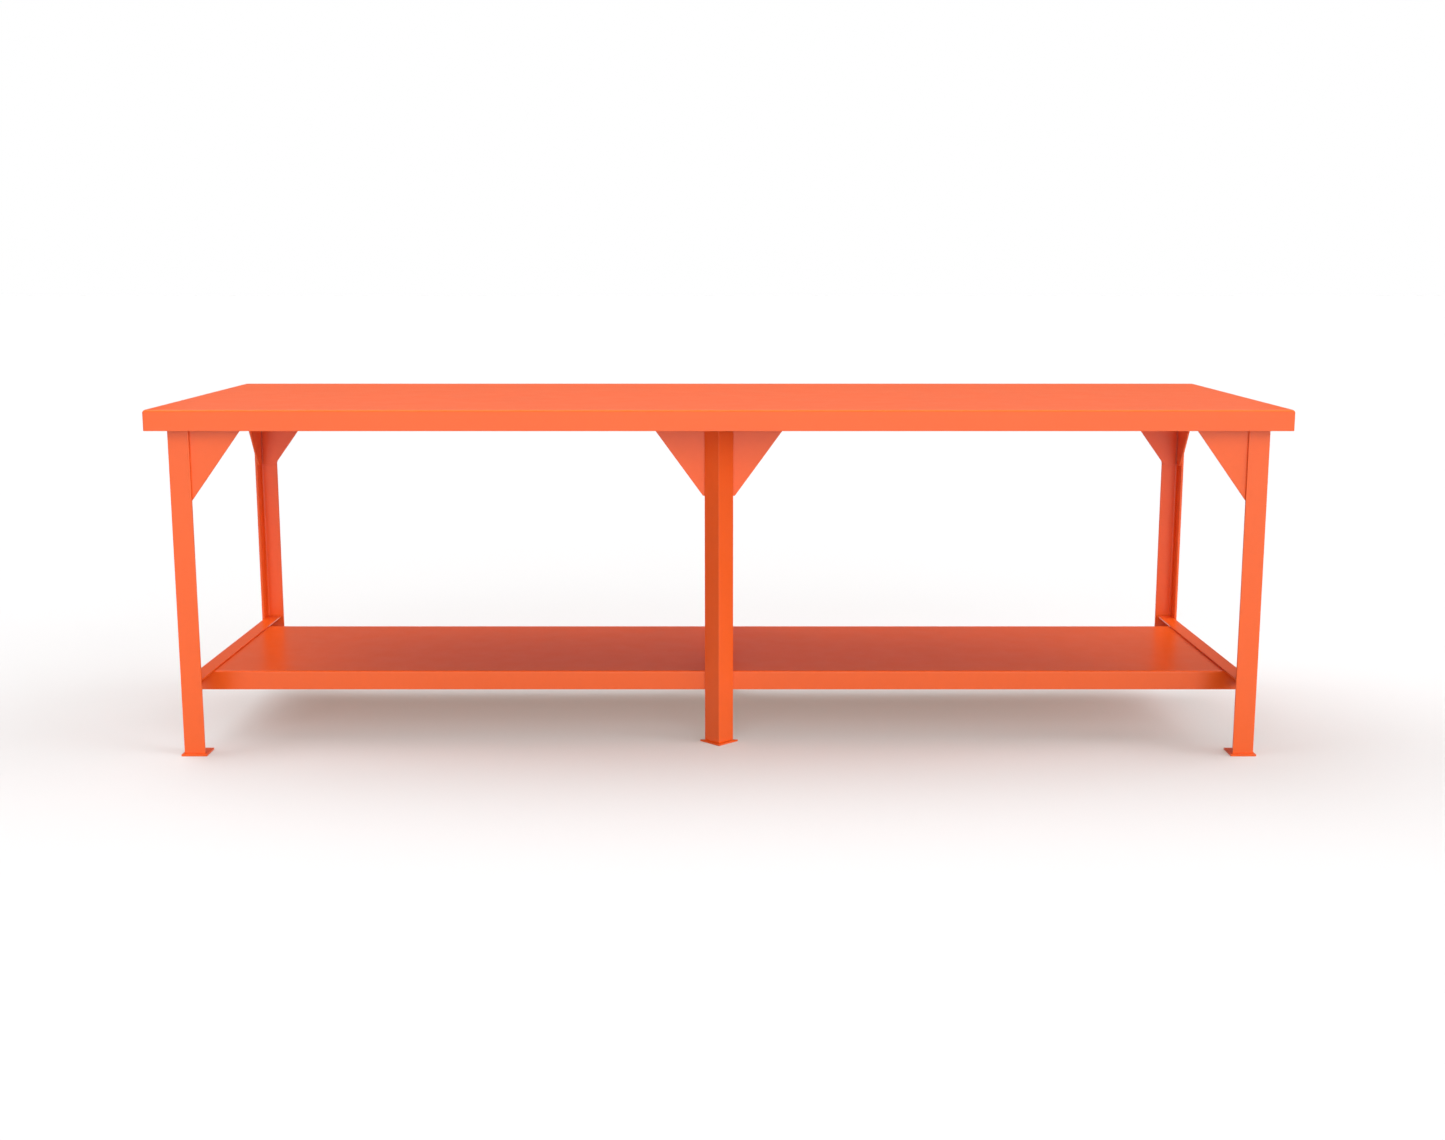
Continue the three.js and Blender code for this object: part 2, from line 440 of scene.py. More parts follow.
@dataclass(frozen=True)
class EdgeBreak:
    """How the sharp edges of a piece are broken before it is coated, and marked for a lighter coat:
    partly thin film, partly a painted highlight.
    """

    width: float = 0.6 * MM
    steps: int = 2
    roundness: float = 0.5
    sharp_angle: float = math.radians(40)
    # How much lighter the broken edges are coated: partly thinner film, partly a painted highlight.
    thinness: float = 0.4

    def apply(self, mesh: bpy.types.Mesh) -> None:
        """Merges the mesh, turns its faces outwards, rounds its sharp edges and marks them for the
        lighter coat, partly thin film and partly a painted highlight.

        Args:
            mesh: The mesh, changed in place.
        """
        weld_distance = 0.001 * MM
        shape = bmesh.new()
        shape.from_mesh(mesh)
        bmesh.ops.remove_doubles(shape, verts=shape.verts, dist=weld_distance)
        bmesh.ops.recalc_face_normals(shape, faces=shape.faces)
        layer = shape.faces.layers.float.new(THIN_COAT_AND_HIGHLIGHT)
        sharp = [edge for edge in shape.edges
                 if edge.is_manifold and edge.calc_face_angle() > self.sharp_angle]
        made = bmesh.ops.bevel(
            shape, geom=sharp, offset=self.width, offset_type="OFFSET", segments=self.steps,
            profile=self.roundness, affect="EDGES", clamp_overlap=True)
        # The rounded edges get the lighter coat: partly thin film, partly painted highlight.
        for face in made["faces"]:
            face[layer] = self.thinness
        for face in shape.faces:
            face.smooth = True
        shape.to_mesh(mesh)
        shape.free()


@dataclass(frozen=True)
class BendCoat:
    """A painted highlight along an outside bend, over the part of its arc that faces up and outwards
    towards the light.
    """

    low_tilt: float = math.radians(28)
    high_tilt: float = math.radians(66)
    depth: float = 8 * MM
    thinness: float = 3.0

    def apply(self, mesh: bpy.types.Mesh) -> None:
        """Paints the highlight on the bend's faces, fading out to both sides of the arc.

        Args:
            mesh: A mesh whose broken edges are marked already.
        """
        layer = mesh.attributes[THIN_COAT_AND_HIGHLIGHT].data
        top = max(vertex.co.z for vertex in mesh.vertices)
        middle = (self.low_tilt + self.high_tilt) / 2
        half = (self.high_tilt - self.low_tilt) / 2
        # Only faces tilted up and out towards the light get the painted highlight.
        for face in mesh.polygons:
            tilt = math.asin(max(-1.0, min(1.0, face.normal.z)))
            share = 1 - ((tilt - middle) / half) ** 2
            if share > 0 and face.center.z > top - self.depth:
                layer[face.index].value = self.thinness * share


def add_piece(
    name: str, mesh: bpy.types.Mesh, coat: PowderCoat, stands_for: Iterable[str] = ()
) -> bpy.types.Object:
    """Puts a finished mesh in the scene as a piece of the table.

    Args:
        name: The piece's name.
        mesh: Its mesh, in place.
        coat: Its finish.
        stands_for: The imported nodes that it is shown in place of.

    Returns:
        The piece.
    """
    draft = put_in_scene(name, mesh)
    weighted = draft.modifiers.new("weighted normals", "WEIGHTED_NORMAL")
    weighted.keep_sharp = True
    final = plain_mesh(draft)
    final.name = name
    draft.modifiers.clear()
    draft.data = final
    bpy.data.meshes.remove(mesh)
    final.materials.clear()
    final.materials.append(coat.material())
    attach(draft, ROOT_BODY)
    if stands_for:
        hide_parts(*stands_for)
    LOG.info("%s: %d faces", name, len(final.polygons))
    return draft


def axes_matrix(x_way: Vector, y_way: Vector, origin: Vector) -> Matrix:
    """The matrix that lays a flat drawing in space, by where its x and y point and it starts."""
    turned = Matrix((x_way, y_way, x_way.cross(y_way))).transposed().to_4x4()
    return Matrix.Translation(origin) @ turned


def circle(centre: Point2, radius: float, steps: int) -> list[Point2]:
    """A ring of points.

    Args:
        centre: The ring's centre.
        radius: Its radius.
        steps: How many points it has.

    Returns:
        The points, counter-clockwise.
    """
    turns = [FULL_TURN * step / steps for step in range(steps)]
    return [(centre[0] + radius * math.cos(turn), centre[1] + radius * math.sin(turn))
            for turn in turns]


def plate_mesh(
    name: str, outline: Sequence[Point2], holes: Iterable[Sequence[Point2]], thickness: float
) -> bpy.types.Mesh:
    """A flat plate cut to an outline, with its mid-plane at z = 0 and its faces sorted.

    Args:
        name: The mesh's name.
        outline: The plate's corners.
        holes: The points round each hole.
        thickness: How thick it is.

    Returns:
        The mesh.
    """
    drawing = bmesh.new()
    edges = []
    for loop in (outline, *holes):
        ring = [drawing.verts.new((x, y, 0)) for x, y in loop]
        edges += [drawing.edges.new((ring[i - 1], ring[i])) for i in range(len(ring))]
    drawing.verts.index_update()
    rims = [[vert.index for vert in edge.verts] for edge in edges]
    bmesh.ops.triangle_fill(drawing, edges=edges, use_beauty=True, use_dissolve=False)
    lower = sorted(sorted(vert.index for vert in face.verts) for face in drawing.faces)
    spots = [vert.co.xy for vert in drawing.verts]
    drawing.free()
    rise = len(spots)
    upper = [[number + rise for number in face] for face in lower]
    sides = [(first, last, last + rise, first + rise) for first, last in rims]
    points = [(*spot, height) for height in (-thickness / 2, thickness / 2) for spot in spots]
    mesh = bpy.data.meshes.new(name)
    mesh.from_pydata(points, [], lower + upper + sides)
    return mesh


def loft_mesh(name: str, rings: Sequence[Sequence[Vector]]) -> bpy.types.Mesh:
    """A closed skin through rings of points, with a flat lid on the first and the last.

    Args:
        name: The mesh's name.
        rings: Closed rings with as many points each.

    Returns:
        The mesh.
    """
    shape = bmesh.new()
    layers = [[shape.verts.new(point) for point in ring] for ring in rings]
    for lower, upper in zip(layers, layers[1:]):
        for i in range(len(lower)):
            shape.faces.new((lower[i - 1], lower[i], upper[i], upper[i - 1]))
    shape.faces.new(layers[0])
    shape.faces.new(layers[-1])
    mesh = bpy.data.meshes.new(name)
    shape.to_mesh(mesh)
    shape.free()
    return mesh


def cut_blocks(mesh: bpy.types.Mesh, blocks: Iterable[NodeBox]) -> bpy.types.Mesh:
    """Cuts upright blocks out of a mesh.

    Args:
        mesh: The mesh, used up.
        blocks: What comes off.

    Returns:
        What is left.
    """
    draft = put_in_scene(mesh.name, mesh)
    cutters = []
    for block in blocks:
        shape = bmesh.new()
        stretch = Matrix.Diagonal(block.size).to_4x4()
        bmesh.ops.create_cube(shape, size=1, matrix=Matrix.Translation(block.centre) @ stretch)
        cutter = put_in_scene("cutter", bpy.data.meshes.new("cutter"))
        shape.to_mesh(cutter.data)
        shape.free()
        modifier = draft.modifiers.new("cut", "BOOLEAN")
        modifier.operation = "DIFFERENCE"
        modifier.solver = "EXACT"
        modifier.object = cutter
        cutters.append(cutter)
    left = plain_mesh(draft)
    for used in (draft, *cutters):
        old = used.data
        bpy.data.objects.remove(used)
        bpy.data.meshes.remove(old)
    return left


# Rolled and folded sections


@dataclass(frozen=True)
class Section(ABC):
    """A section that is the same all along a straight bar, drawn by a geometry node tree.

    Each size is a named input of the tree. A corner is an x, a y and a radius.
    """

    TREE: ClassVar[str]
    ARC_STEPS: ClassVar[int] = 10

    @classmethod
    @abstractmethod
    def corners(cls, tree: ShapeTree, size: Mapping[str, Number]) -> list[tuple[Number, ...]]:
        """Each corner's x, y and radius, from the sizes by field name, with the tree for their sums."""

    @staticmethod
    def title(name: str) -> str:
        """A field's name as an input's name."""
        return name.replace("_", " ").title()

    @classmethod
    @cache
    def tree(cls) -> ShapeTree:
        """Draws the tree for this kind of section, once.

        Returns:
            The tree.
        """
        tree = ShapeTree(cls.TREE)
        size = {one.name: tree.input(cls.title(one.name)) for one in fields(cls)}
        length = tree.input("Length")
        coat = tree.input("Coat", "NodeSocketMaterial")
        corners = cls.corners(tree, size)
        index = tree.add("GeometryNodeInputIndex").outputs[0]
        spots = [tree.add("ShaderNodeCombineXYZ", {"X": x, "Y": y}).outputs[0] for x, y, _ in corners]
        line = tree.add("GeometryNodeCurvePrimitiveLine").outputs[0]
        points = tree.add("GeometryNodeResampleCurve", {"Curve": line, "Count": len(corners)}).outputs[0]
        placed = tree.add("GeometryNodeSetPosition", {
            "Geometry": points, "Position": cls.pick(tree, index, spots, "VECTOR")}).outputs[0]
        closed = tree.add(
            "GeometryNodeSetSplineCyclic", {"Geometry": placed, "Cyclic": True}).outputs[0]
        radii = [radius for _, _, radius in corners]
        rounded = tree.add("GeometryNodeFilletCurve", {
            "Curve": closed, "Count": cls.ARC_STEPS, "Radius": cls.pick(tree, index, radii, "FLOAT"),
        }, mode="POLY").outputs[0]
        face = tree.add("GeometryNodeFillCurve", {"Curve": rounded}, mode="NGONS").outputs[0]
        rise = tree.add("ShaderNodeCombineXYZ", {"Z": length}).outputs[0]
        raised = tree.add("GeometryNodeExtrudeMesh", {
            "Mesh": face, "Offset": rise, "Offset Scale": 1.0, "Individual": False}).outputs[0]
        foot = tree.add("GeometryNodeFlipFaces", {"Mesh": face}).outputs[0]
        both = tree.add("GeometryNodeJoinGeometry")
        tree.feed(both.inputs[0], raised)
        tree.feed(both.inputs[0], foot)
        merge_distance = 0.005 * MM
        merged = tree.add("GeometryNodeMergeByDistance", {
            "Geometry": both.outputs[0], "Distance": merge_distance}).outputs[0]
        tree.finish(merged, coat)
        return tree

    @staticmethod
    def pick(tree: ShapeTree, index: bpy.types.NodeSocket, values: Sequence[Number], kind: str
             ) -> bpy.types.NodeSocket:
        """One of several values, by a point's number.

        Args:
            tree: The tree.
            index: The number.
            values: The values.
            kind: Their data type.

        Returns:
            The value's socket.
        """
        switch = tree.add("GeometryNodeIndexSwitch", data_type=kind)
        while len(switch.index_switch_items) < len(values):
            switch.index_switch_items.new()
        tree.feed(switch.inputs[0], index)
        for number, value in enumerate(values):
            tree.feed(switch.inputs[number + 1], value)
        return switch.outputs[0]

    def bar(
        self, name: str, length: float, place: Matrix, coat: PowderCoat, cuts: Sequence[NodeBox] = ()
    ) -> bpy.types.Mesh:
        """A straight bar of the section, laid in its place.

        Args:
            name: The mesh's name.
            length: The bar's length.
            place: Where it lies: it starts at the drawing's origin and runs along its z.
            coat: Its finish.
            cuts: What is cut off it once it lies in place.

        Returns:
            The mesh, its sharp edges broken.
        """
        values = {self.title(one.name): getattr(self, one.name) for one in fields(self)}
        values |= {"Length": length, "Coat": coat.material()}
        mesh = self.tree().mesh(name, values, bpy.data.meshes.new(name))
        mesh.transform(place)
        mesh = cut_blocks(mesh, cuts) if cuts else mesh
        EdgeBreak().apply(mesh)
        return mesh


@dataclass(frozen=True)
class AngleSection(Section):
    """Hot-rolled angle: its heel at the origin, its flanges along x and y."""

    TREE: ClassVar[str] = "rolled_angle"

    flange: float
    thickness: float
    root_radius: float
    toe_radius: float
    heel_radius: float

    @classmethod
    def corners(cls, tree: ShapeTree, size: Mapping[str, Number]) -> list[tuple[Number, ...]]:
        """The six corners of an L, from the heel round.

        Args:
            tree: The tree, not used here: an L needs no sums.
            size: The section's sizes by field name.

        Returns:
            Each corner's x, y and radius.
        """
        far = size["flange"]
        near = size["thickness"]
        return [
            (0.0, 0.0, size["heel_radius"]),
            (far, 0.0, 0.0),
            (far, near, size["toe_radius"]),
            (near, near, size["root_radius"]),
            (near, far, size["toe_radius"]),
            (0.0, far, 0.0),
        ]


@dataclass(frozen=True)
class ChannelSection(Section):
    """Folded channel: its web on the x axis, its flanges along y."""

    TREE: ClassVar[str] = "folded_channel"

    width: float
    depth: float
    thickness: float
    inner_radius: float

    @classmethod
    def corners(cls, tree: ShapeTree, size: Mapping[str, Number]) -> list[tuple[Number, ...]]:
        """The eight corners of a U, from the left flange's tip round the outside and back inside.

        Args:
            tree: The tree, for sums of sizes.
            size: The section's sizes by field name.

        Returns:
            Each corner's x, y and radius.
        """
        depth = size["depth"]
        thickness = size["thickness"]
        inner = size["inner_radius"]
        outer = tree.math("ADD", inner, thickness)
        right = tree.math("DIVIDE", size["width"], 2.0)
        left = tree.math("MULTIPLY", right, -1.0)
        right_inside = tree.math("SUBTRACT", right, thickness)
        left_inside = tree.math("ADD", left, thickness)
        return [
            (left, depth, 0.0),
            (left, 0.0, outer),
            (right, 0.0, outer),
            (right, depth, 0.0),
            (right_inside, depth, 0.0),
            (right_inside, thickness, inner),
            (left_inside, thickness, inner),
            (left_inside, depth, 0.0),
        ]


# Weld beads


@dataclass(frozen=True)
class Seam:
    """One run of weld along the line where two plates meet."""

    start: Vector
    end: Vector
    open_way: Vector

    def stitches(self, length: float, pitch: float) -> list["Seam"]:
        """Breaks the seam into short runs.

        Args:
            length: The length of a run.
            pitch: From one run's start to the next one's.

        Returns:
            The runs, centred along the seam.
        """
        way = (self.end - self.start).normalized()
        whole = (self.end - self.start).length
        count = int((whole - length) / pitch) + 1
        lead = (whole - (count - 1) * pitch - length) / 2
        firsts = [self.start + way * (lead + number * pitch) for number in range(count)]
        return [Seam(first, first + way * length, self.open_way) for first in firsts]


@dataclass
class WeldBeads:
    """Rippled fillet welds along seams, made by a geometry node tree that follows their lines."""

    TREE: ClassVar[str] = "weld_beads"
    RING_STEPS: ClassVar[int] = 8
    NOISE_DETAIL: ClassVar[float] = 1.0
    BLUNT_SHARE: ClassVar[float] = 0.25

    radius: float = 2.3 * MM
    rise: float = 0.7 * MM
    ripple_pitch: float = 3.2 * MM
    ripple_share: float = 0.2
    wander_share: float = 0.12
    wander_pitch: float = 9 * MM
    steps_per_ripple: float = 4.0
    seed: float = 4.0

    @classmethod
    @cache
    def tree(cls) -> ShapeTree:
        """Draws the tree, once: each line becomes a bead of overlapping ripples with round ends.

        Returns:
            The tree.
        """
        tree = ShapeTree(cls.TREE)
        lines = tree.input("Lines", "NodeSocketGeometry")
        radius = tree.input("Radius")
        pitch = tree.input("Ripple Pitch")
        ripple = tree.input("Ripple Share")
        wander = tree.input("Wander Share")
        wander_pitch = tree.input("Wander Pitch")
        steps = tree.input("Steps Per Ripple")
        seed = tree.input("Seed")
        coat = tree.input("Coat", "NodeSocketMaterial")
        curve = tree.add("GeometryNodeMeshToCurve", {"Mesh": lines}).outputs[0]
        step = tree.math("DIVIDE", pitch, steps)
        fine = tree.add("GeometryNodeResampleCurve", {"Curve": curve, "Length": step}, mode="LENGTH")
        along = tree.add("GeometryNodeSplineParameter").outputs["Length"]
        whole = tree.add("GeometryNodeSplineLength").outputs["Length"]
        phase = tree.math("FRACT", tree.math("DIVIDE", along, pitch))
        dip = tree.math("MULTIPLY", tree.math("MULTIPLY", phase, phase), ripple)
        spot = tree.add("GeometryNodeInputPosition").outputs[0]
        fineness = tree.math("DIVIDE", 1.0, wander_pitch)
        noise = tree.add("ShaderNodeTexNoise", {
            "Vector": spot, "W": seed, "Scale": fineness, "Detail": cls.NOISE_DETAIL,
        }, noise_dimensions="4D").outputs["Fac"]
        drift = tree.math("MULTIPLY", noise, wander)
        full = tree.math("SUBTRACT", tree.math("SUBTRACT", 1.0, dip), drift)
        to_end = tree.math("MINIMUM", along, tree.math("SUBTRACT", whole, along))
        end_share = tree.math("MINIMUM", tree.math("DIVIDE", to_end, radius), 1.0)
        taper = tree.math("SQRT", tree.math("MAXIMUM", end_share, 0.0))
        round_off = tree.math("MAXIMUM", taper, cls.BLUNT_SHARE)
        ring = tree.add(
            "GeometryNodeCurvePrimitiveCircle", {"Resolution": cls.RING_STEPS, "Radius": radius})
        bead = tree.add("GeometryNodeCurveToMesh", {
            "Curve": fine.outputs[0], "Profile Curve": ring.outputs[0],
            "Scale": tree.math("MULTIPLY", full, round_off), "Fill Caps": True})
        tree.finish(bead.outputs[0], coat)
        return tree

    def build(self, name: str, seams: Iterable[Seam], coat: PowderCoat) -> bpy.types.Object:
        """Welds the seams.

        Args:
            name: The piece's name.
            seams: The runs.
            coat: The finish over them.

        Returns:
            The piece.
        """
        points = []
        for seam in seams:
            lift = seam.open_way.normalized() * self.rise
            points += [seam.start + lift, seam.end + lift]
        lines = bpy.data.meshes.new(name)
        lines.from_pydata(points, [(i, i + 1) for i in range(0, len(points), 2)], [])
        values = {
            "Radius": self.radius, "Ripple Pitch": self.ripple_pitch, "Ripple Share": self.ripple_share,
            "Wander Share": self.wander_share, "Wander Pitch": self.wander_pitch,
            "Steps Per Ripple": self.steps_per_ripple, "Seed": self.seed, "Coat": coat.material(),
        }
        mesh = self.tree().mesh(name, values, lines)
        return add_piece(name, mesh, coat)


# Sub-assemblies


class Member:
    """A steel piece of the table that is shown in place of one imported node."""

    node: str

    @property
    def box(self) -> NodeBox:
        """The node's box."""
        return NodeBox.of(self.node)

    def cover(self, mesh: bpy.types.Mesh, coat: PowderCoat) -> bpy.types.Object:
        """Shows a finished mesh in the node's place."""
        return add_piece(f"{self.node}_coated", mesh, coat, [self.node])


@dataclass
class FormedTop(Member):
    """The top: one plate with a skirt turned down on all four sides, its corners welded and ground."""

    node: ClassVar[str] = "table_top"

    inner_radius: float = 2.84 * MM
    corner_radius: float = 3.0 * MM
    inner_corner_radius: float = 1.2 * MM
    edge_radius: float = 0.7 * MM
    bend_steps: int = 14
    edge_steps: int = 3
    corner_steps: int = 8
    corner_bead_clearance: float = 5 * MM
    sharp_angle: float = math.radians(80)
    thickness: float = field(
        default_factory=lambda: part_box("table_top")[1].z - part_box("leg_front_left")[1].z)

    @property
    def underside(self) -> float:
        """The height of the plate's lower face."""
        return self.box.high.z - self.thickness

    def profile(self) -> list[tuple[float, float, float]]:
        """The skin's section, from the flat of the top over the bend, down and back up inside.

        Returns:
            Each ring's distance inside the outer face, its height and its corner radius.
        """
        outer = self.inner_radius + self.thickness
        top = self.box.high.z
        foot = self.box.low.z
        edge = self.edge_radius
        bend_turns, edge_turns = (
            [QUARTER_TURN * i / steps for i in range(steps + 1)]
            for steps in (self.bend_steps, self.edge_steps))
        rings = [(outer * (1 - math.sin(t)), top - outer * (1 - math.cos(t)), self.corner_radius)
                 for t in bend_turns]
        rings += [(edge * (1 - math.cos(t)), foot + edge * (1 - math.sin(t)), self.corner_radius)
                  for t in edge_turns]
        rings += [(self.thickness - edge * (1 - math.sin(t)), foot + edge * (1 - math.cos(t)),
                   self.inner_corner_radius) for t in edge_turns]
        rings += [(self.thickness + self.inner_radius * (1 - math.cos(t)),
                   self.underside - self.inner_radius * (1 - math.sin(t)), self.inner_corner_radius)
                  for t in bend_turns]
        return rings

    def ring(self, inset: float, height: float, radius: float) -> list[Vector]:
        """A rectangle with round corners.

        Args:
            inset: Its distance inside the outer face.
            height: Its height.
            radius: Its corners' radius.

        Returns:
            The points, counter-clockwise.
        """
        half = self.box.size / 2 - Vector((inset + radius, inset + radius, 0))
        points = []
        for number, (x, y) in enumerate(((1, 1), (-1, 1), (-1, -1), (1, -1))):
            for step in range(self.corner_steps + 1):
                turn = QUARTER_TURN * (number + step / self.corner_steps)
                points.append(Vector((
                    x * half.x + radius * math.cos(turn), y * half.y + radius * math.sin(turn), height)))
        return points

    def build(self) -> bpy.types.Object:
        """Builds the top.

        Returns:
            The piece.
        """
        mesh = loft_mesh(self.node, [self.ring(*row) for row in self.profile()])
        EdgeBreak(sharp_angle=self.sharp_angle).apply(mesh)
        # Paints a highlight along the top's outside bend.
        BendCoat().apply(mesh)
        return self.cover(mesh, TOP_COAT)

    def seams(self) -> list[Seam]:
        """The upright seam inside each corner of the skirt.

        Returns:
            The seams.
        """
        found = []
        for side in Side:
            for row in Row:
                x = side.value * (self.box.high.x - self.thickness)
                y = row.value * (self.box.high.y - self.thickness)
                low = Vector((x, y, self.box.low.z + self.corner_bead_clearance))
                high = Vector((x, y, self.underside - self.corner_bead_clearance))
                found.append(Seam(low, high, Vector((-side.value, -row.value, 0))))
        return found


@dataclass
class Stiffener(Member):
    """A folded channel welded under a plate, its open side against it."""

    node: str
    thickness: float
    inner_radius: float
    coat: PowderCoat
    stitch_length: float = 38 * MM
    stitch_pitch: float = 150 * MM

    def build(self) -> bpy.types.Object:
        """Builds the channel.

        Returns:
            The piece.
        """
        box = self.box
        section = ChannelSection(box.size.x, box.size.z, self.thickness, self.inner_radius)
        start = Vector((box.centre.x, box.high.y, box.low.z))
        mesh = section.bar(self.node, box.size.y, axes_matrix(X_AXIS, Z_AXIS, start), self.coat)
        return self.cover(mesh, self.coat)

    def seams(self) -> list[Seam]:
        """Stitch welds along both flanges.

        Returns:
            The seams.
        """
        box = self.box
        found = []
        for side in Side:
            x = box.centre.x + side.value * box.size.x / 2
            line = Seam(Vector((x, box.low.y, box.high.z)), Vector((x, box.high.y, box.high.z)),
                        Vector((side.value, 0, -1)))
            found += line.stitches(self.stitch_length, self.stitch_pitch)
        return found


@dataclass
class Gusset(Member):
    """A plate in the corner between a leg and the top, its lower corner cut off.

    reach_way points from the leg along the plate, and face_way squarely off the face that the
    photograph doesn't show.
    """

    node: str
    reach_way: Vector
    face_way: Vector
    foot_width: float = 33.15 * MM
    bead_end_gap: float = 6 * MM

    @property
    def thickness(self) -> float:
        """The plate's thickness."""
        return abs(self.box.size.dot(self.face_way))

    @property
    def reach(self) -> float:
        """How far the plate runs out from the leg."""
        return abs(self.box.size.dot(self.reach_way))

    @property
    def near_top(self) -> Vector:
        """The middle of the plate's upper corner by the leg."""
        middle = Vector((self.box.centre.x, self.box.centre.y, self.box.high.z))
        return middle - self.reach_way * self.reach / 2

    def build(self) -> bpy.types.Object:
        """Builds the plate.

        Returns:
            The piece.
        """
        drop = self.box.size.z
        outline = [(0, 0), (0, -drop), (self.foot_width, -drop), (self.reach, 0)]
        mesh = plate_mesh(self.node, outline, (), self.thickness)
        mesh.transform(axes_matrix(self.reach_way, Z_AXIS, self.near_top))
        EdgeBreak().apply(mesh)
        return self.cover(mesh, FRAME_COAT)

    def top_seam(self) -> Seam:
        """The seam along the underside of the top, on the hidden face."""
        near = self.near_top + self.face_way * self.thickness / 2
        start = near + self.reach_way * self.bead_end_gap
        end = near + self.reach_way * (self.reach - self.bead_end_gap)
        return Seam(start, end, self.face_way - Z_AXIS)


@dataclass
class Leg(Member):
    """A leg of angle with its foot pad, standing with its heel outwards.

    flange_way points along the flange that is drawn first, a quarter turn clockwise from the other.
    """

    name: str
    heel: Point2
    flange_way: Vector
    section: AngleSection
    hole_centre: Point2
    hole_radius: float = 5.5 * MM
    hole_steps: int = 32
    bead_root_gap: float = 9 * MM
    bead_toe_gap: float = 5 * MM

    @property
    def other_way(self) -> Vector:
        """Along the second flange."""
        return Z_AXIS.cross(self.flange_way)

    @property
    def node(self) -> str:
        """The leg's node."""
        return f"leg_{self.name}"

    @property
    def pad_node(self) -> str:
        """The foot pad's node."""
        return f"foot_pad_{self.name}"

    def build(self) -> list[bpy.types.Object]:
        """Builds the leg and its pad.

        Returns:
            The two pieces.
        """
        foot = Vector((*self.heel, self.box.low.z))
        place = axes_matrix(self.flange_way, self.other_way, foot)
        mesh = self.section.bar(self.node, self.box.size.z, place, FRAME_COAT)
        return [self.cover(mesh, FRAME_COAT), self.build_pad()]

    def pad_outline(self) -> list[Point2]:
        """The pad's corners: a square about a corner leg.

        Returns:
            The corners.
        """
        box = NodeBox.of(self.pad_node)
        return [(box.low.x, box.low.y), (box.high.x, box.low.y),
                (box.high.x, box.high.y), (box.low.x, box.high.y)]

    def build_pad(self) -> bpy.types.Object:
        """Builds the foot pad with its anchor hole.

        Returns:
            The piece.
        """
        box = NodeBox.of(self.pad_node)
        hole = circle(self.hole_centre, self.hole_radius, self.hole_steps)
        mesh = plate_mesh(self.pad_node, self.pad_outline(), [hole], box.size.z)
        mesh.transform(Matrix.Translation(Vector((0, 0, box.centre.z))))
        EdgeBreak().apply(mesh)
        return add_piece(f"{self.pad_node}_coated", mesh, FRAME_COAT, [self.pad_node])

    def seams(self) -> list[Seam]:
        """The seams inside the angle on the pad, and outside it under the top.

        Returns:
            The seams.
        """
        box = self.box
        heel = Vector((*self.heel, 0))
        found = []
        for along, out in ((self.flange_way, -self.other_way), (self.other_way, -self.flange_way)):
            inside = heel - out * self.section.thickness + Z_AXIS * box.low.z
            found.append(Seam(inside + along * self.bead_root_gap,
                              inside + along * (self.section.flange - self.bead_toe_gap), Z_AXIS - out))
            outside = heel + Z_AXIS * box.high.z
            found.append(Seam(outside + along * self.bead_toe_gap,
                              outside + along * (self.section.flange - self.bead_toe_gap), out - Z_AXIS))
        return found


@dataclass
class CornerLeg(Leg):
    """A leg at a corner of the table, with a gusset against each flange."""

    row: Row = Row.FRONT
    side: Side = Side.LEFT

    @classmethod
    def at(cls, row: Row, side: Side, section: AngleSection) -> "CornerLeg":
        """The leg at one corner.

        Args:
            row: The front or the rear row.
            side: The left or the right end.
            section: Its section.

        Returns:
            The leg.
        """
        name = f"{row.word}_{side.word}"
        box = NodeBox.of(f"leg_{name}")
        heel = Vector((box.face_x(side.value), box.face_y(row.value)))
        inwards = X_AXIS * -side.value
        across = Y_AXIS * -row.value
        first = inwards if inwards.cross(across).z > 0 else across
        hole_reach = (section.thickness + section.flange) / 2
        hole = (heel.x - side.value * hole_reach, heel.y - row.value * hole_reach)
        return cls(name, tuple(heel), first, section, hole, row=row, side=side)

    def gussets(self) -> list[Gusset]:
        """The gusset along the table and the one across its end.

        Returns:
            The gussets.
        """
        inwards = X_AXIS * -self.side.value
        across = Y_AXIS * -self.row.value
        return [Gusset(f"gusset_{self.name}_long", inwards, across),
                Gusset(f"gusset_{self.name}_end", across, inwards)]

    def gusset_seams(self) -> list[Seam]:
        """How the gussets are welded to the leg, on the faces that the photograph doesn't show.

        A front gusset is welded along its own edge and foot, inside the angle, and a rear one
        along the flange's toe, outside it.

        Returns:
            The seams.
        """
        found = []
        for gusset in self.gussets():
            low_near = gusset.near_top - Z_AXIS * gusset.box.size.z
            found.append(gusset.top_seam())
            if self.row is Row.FRONT:
                edge = -gusset.face_way * gusset.thickness / 2
                rim = gusset.near_top - Z_AXIS * gusset.bead_end_gap
                foot_end = low_near + gusset.reach_way * gusset.foot_width
                found.append(Seam(low_near + edge, rim + edge, gusset.face_way - gusset.reach_way))
                found.append(Seam(low_near + edge, foot_end + edge, gusset.face_way - Z_AXIS))
            else:
                heel = Vector((*self.heel, 0))
                toe = heel + gusset.reach_way * self.section.flange
                toe += gusset.face_way * self.section.thickness
                found.append(Seam(toe + Z_AXIS * (low_near.z + gusset.bead_end_gap),
                                  toe + Z_AXIS * (gusset.near_top.z - gusset.bead_end_gap),
                                  gusset.reach_way - gusset.face_way))
        return found


